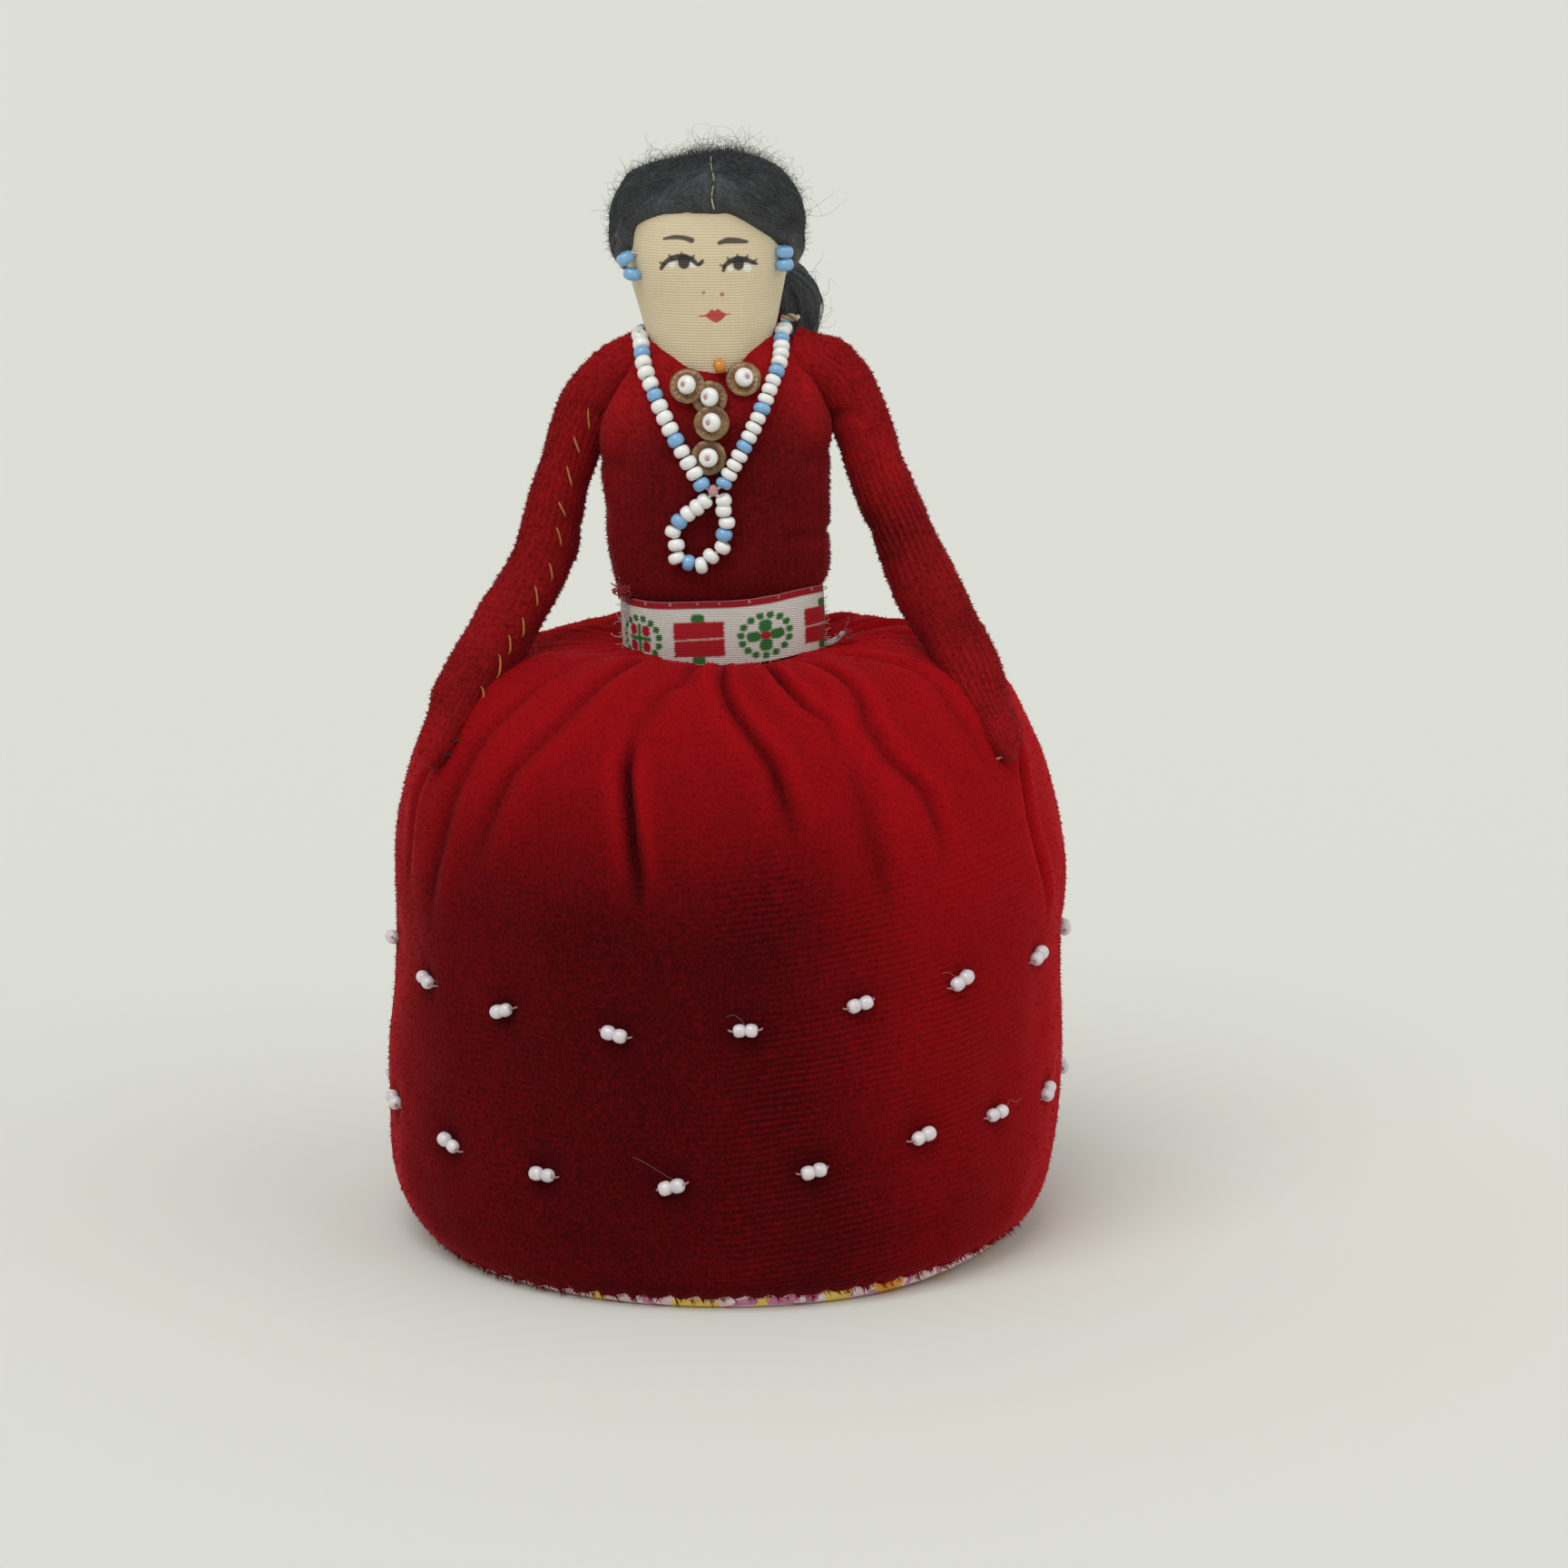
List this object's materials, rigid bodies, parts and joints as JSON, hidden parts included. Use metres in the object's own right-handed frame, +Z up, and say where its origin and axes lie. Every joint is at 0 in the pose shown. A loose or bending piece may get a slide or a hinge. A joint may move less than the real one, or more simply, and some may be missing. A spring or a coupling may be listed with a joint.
{
  "type": "pincushion doll",
  "caption": "Stuffed velvet pincushion doll with a gathered cushion skirt sewn with pearl beads, a strung bead necklace, a woven ribbon belt, a cotton face and parted black wool hair.",
  "frame": {"origin": "centre of the flat cotton bottom that the cushion rests on", "axes": "+Z up from the resting face to the top of the hair, the doll faces -Y, +X to the doll's left"},
  "size_m": [0.0978, 0.0918, 0.1498],
  "materials": {
    "velvet": "matte",
    "stuffing": "matte",
    "head_cotton": "matte",
    "base_print": "matte",
    "card": "matte",
    "red_thread": "matte",
    "orange_thread": "matte",
    "dark_thread": "matte",
    "pale_yarn": "matte",
    "ribbon": "satin",
    "wool": "matte",
    "pearl": "gloss",
    "white_bead": "gloss",
    "blue_bead": "gloss",
    "orange_bead": "gloss",
    "sequin": "gloss"
  },
  "bodies": {
    "doll": {"skirt_cover": "velvet", "bodice_front": "velvet", "bodice_back": "velvet", "right_sleeve": "velvet", "left_sleeve": "velvet", "skirt_filling": "stuffing", "torso_filling": "stuffing", "head_filling": "stuffing", "right_arm_filling": "stuffing", "left_arm_filling": "stuffing", "head_cover": "head_cotton", "base_panel": "base_print", "base_card": "card", "hem_thread": "red_thread", "waist_thread": "red_thread", "left_sleeve_thread": "red_thread", "right_sleeve_thread": "orange_thread", "right_hand_tack": "dark_thread", "left_hand_tack": "dark_thread", "parting_thread": "pale_yarn", "belt_ribbon": "ribbon", "right_hair": "wool", "left_hair": "wool", "upper_pearl_row": "pearl", "lower_pearl_row": "pearl", "necklace_collar": "white_bead", "sequin_bead_upper_right": "white_bead", "sequin_bead_upper_left": "white_bead", "sequin_bead_upper_middle": "white_bead", "sequin_bead_middle": "white_bead", "sequin_bead_lower": "white_bead", "collar_bead": "orange_bead", "sequin_upper_right": "sequin", "sequin_upper_left": "sequin", "sequin_upper_middle": "sequin", "sequin_middle": "sequin", "sequin_lower": "sequin"},
    "necklace": {"necklace_front": "white_bead"},
    "pendant": {"pendant_loop": "white_bead"},
    "right_earring": {"right_earring_thread": "pale_yarn", "right_earring_upper_bead": "blue_bead", "right_earring_lower_bead": "blue_bead"},
    "left_earring": {"left_earring_thread": "pale_yarn", "left_earring_upper_bead": "blue_bead", "left_earring_lower_bead": "blue_bead"},
    "bun": {"hair_bun": "wool", "bun_tie": "pale_yarn"}
  },
  "joints": [
    {"name": "necklace_swing", "type": "hinge", "parent": "doll", "child": "necklace", "pos_m": [-0.00182, -0.00335, 0.1255], "axis": [-0.9992, 0, -0.0401], "range_deg": [0, 40]},
    {"name": "pendant_swing", "type": "hinge", "parent": "necklace", "child": "pendant", "pos_m": [-0.0016, -0.0122, 0.10505], "axis": [-0.9992, 0, -0.0401], "range_deg": [0, 50]},
    {"name": "right_earring_swing", "type": "hinge", "parent": "doll", "child": "right_earring", "pos_m": [-0.0123, -0.0056, 0.1363], "axis": [0, 1, 0], "range_deg": [0, 25]},
    {"name": "left_earring_swing", "type": "hinge", "parent": "doll", "child": "left_earring", "pos_m": [0.00775, -0.0056, 0.1371], "axis": [0, -1, 0], "range_deg": [0, 25]},
    {"name": "bun_swing", "type": "hinge", "parent": "doll", "child": "bun", "pos_m": [0.0049, 0.01, 0.13695], "axis": [0.9992, 0, 0.0401], "range_deg": [0, 20]}
  ]
}
